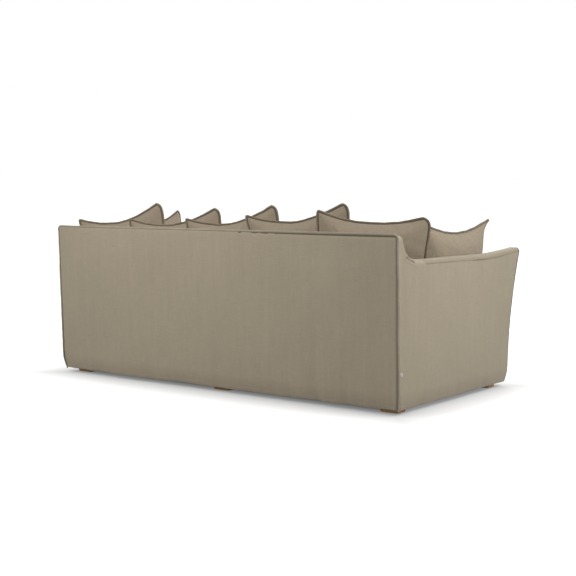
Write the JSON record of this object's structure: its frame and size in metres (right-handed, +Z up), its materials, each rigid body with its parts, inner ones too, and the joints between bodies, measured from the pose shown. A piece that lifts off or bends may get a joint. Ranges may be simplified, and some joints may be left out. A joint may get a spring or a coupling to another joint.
{
  "type": "loose-cover sofa",
  "caption": "Long upholstered sofa with a straight back, flared arms, a skirtless linen loose cover, a bench seat cushion and loose flanged cushions.",
  "frame": {"origin": "on the floor, in the middle of the sofa's outline in plan", "axes": "+X to the right of someone who stands in front and faces the sofa, along its length; +Y from the front to the back; +Z up"},
  "size_m": [2.3348, 1.112, 0.9631],
  "materials": {
    "linen": "matt washed linen, plain weave",
    "timber": "sawn softwood, unfinished",
    "foot_wood": "pale wood, satin oil",
    "webbing": "woven elastic webbing",
    "wadding": "polyester wadding",
    "dust_cloth": "spun-bond cloth",
    "steel": "zinc-plated bolt",
    "tab": "blank woven tape"
  },
  "bodies": {
    "frame": {"inner_arm_cover_left": "linen", "inner_arm_cover_right": "linen", "outer_arm_cover_left": "linen", "outer_arm_cover_right": "linen", "arm_front_cover_left": "linen", "arm_front_cover_right": "linen", "front_cover": "linen", "inner_back_cover": "linen", "outer_back_cover": "linen", "rear_corner_flange_left": "linen", "rear_corner_flange_right": "linen", "back_top_flange": "linen", "deck_cover": "linen", "front_rail": "timber", "rear_rail": "timber", "side_rail_left": "timber", "side_rail_right": "timber", "corner_block_front_left": "timber", "corner_block_front_right": "timber", "corner_block_rear_left": "timber", "corner_block_rear_right": "timber", "centre_beam": "timber", "arm_front_post_left": "timber", "arm_front_post_right": "timber", "arm_rear_post_left": "timber", "arm_rear_post_right": "timber", "arm_rail_left": "timber", "arm_rail_right": "timber", "back_post_left": "timber", "back_post_right": "timber", "back_lower_rail": "timber", "back_top_rail": "timber", "back_upright": "timber", "foot_front_left": "foot_wood", "foot_rear_left": "foot_wood", "foot_front_middle": "foot_wood", "foot_rear_middle": "foot_wood", "foot_front_right": "foot_wood", "foot_rear_right": "foot_wood", "foot_bolt_front_left": "steel", "foot_bolt_rear_left": "steel", "foot_bolt_front_middle": "steel", "foot_bolt_rear_middle": "steel", "foot_bolt_front_right": "steel", "foot_bolt_rear_right": "steel", "seat_webbing": "webbing", "back_webbing": "webbing", "back_wadding": "wadding", "arm_wadding_left": "wadding", "arm_wadding_right": "wadding", "dust_cover": "dust_cloth", "seam_tab": "tab"},
    "seat_cushion": {"seat_cushion": "linen"},
    "back_cushion_1": {"back_cushion_1": "linen"},
    "back_cushion_2": {"back_cushion_2": "linen"},
    "back_cushion_3": {"back_cushion_3": "linen"},
    "back_cushion_4": {"back_cushion_4": "linen"},
    "back_cushion_5": {"back_cushion_5": "linen"},
    "arm_cushion_left": {"arm_cushion_left": "linen"},
    "arm_cushion_right": {"arm_cushion_right": "linen"}
  },
  "joints": [
    {"name": "seat_cushion_pull", "type": "slide", "parent": "frame", "child": "seat_cushion", "axis": [0, -1, 0], "range_m": [0, 1.1]},
    {"name": "back_cushion_1_lift", "type": "slide", "parent": "frame", "child": "back_cushion_1", "axis": [0, 0.0872, 0.9962], "range_m": [0, 0.65]},
    {"name": "back_cushion_2_lift", "type": "slide", "parent": "frame", "child": "back_cushion_2", "axis": [0, 0.0872, 0.9962], "range_m": [0, 0.65]},
    {"name": "back_cushion_3_lift", "type": "slide", "parent": "frame", "child": "back_cushion_3", "axis": [0, 0.0872, 0.9962], "range_m": [0, 0.65]},
    {"name": "back_cushion_4_lift", "type": "slide", "parent": "frame", "child": "back_cushion_4", "axis": [0, 0.0872, 0.9962], "range_m": [0, 0.65]},
    {"name": "back_cushion_5_lift", "type": "slide", "parent": "frame", "child": "back_cushion_5", "axis": [0, 0.0872, 0.9962], "range_m": [0, 0.65]},
    {"name": "arm_cushion_left_lift", "type": "slide", "parent": "frame", "child": "arm_cushion_left", "axis": [-0.0872, 0, 0.9962], "range_m": [0, 0.65]},
    {"name": "arm_cushion_right_lift", "type": "slide", "parent": "frame", "child": "arm_cushion_right", "axis": [0.0872, 0, 0.9962], "range_m": [0, 0.65]}
  ]
}
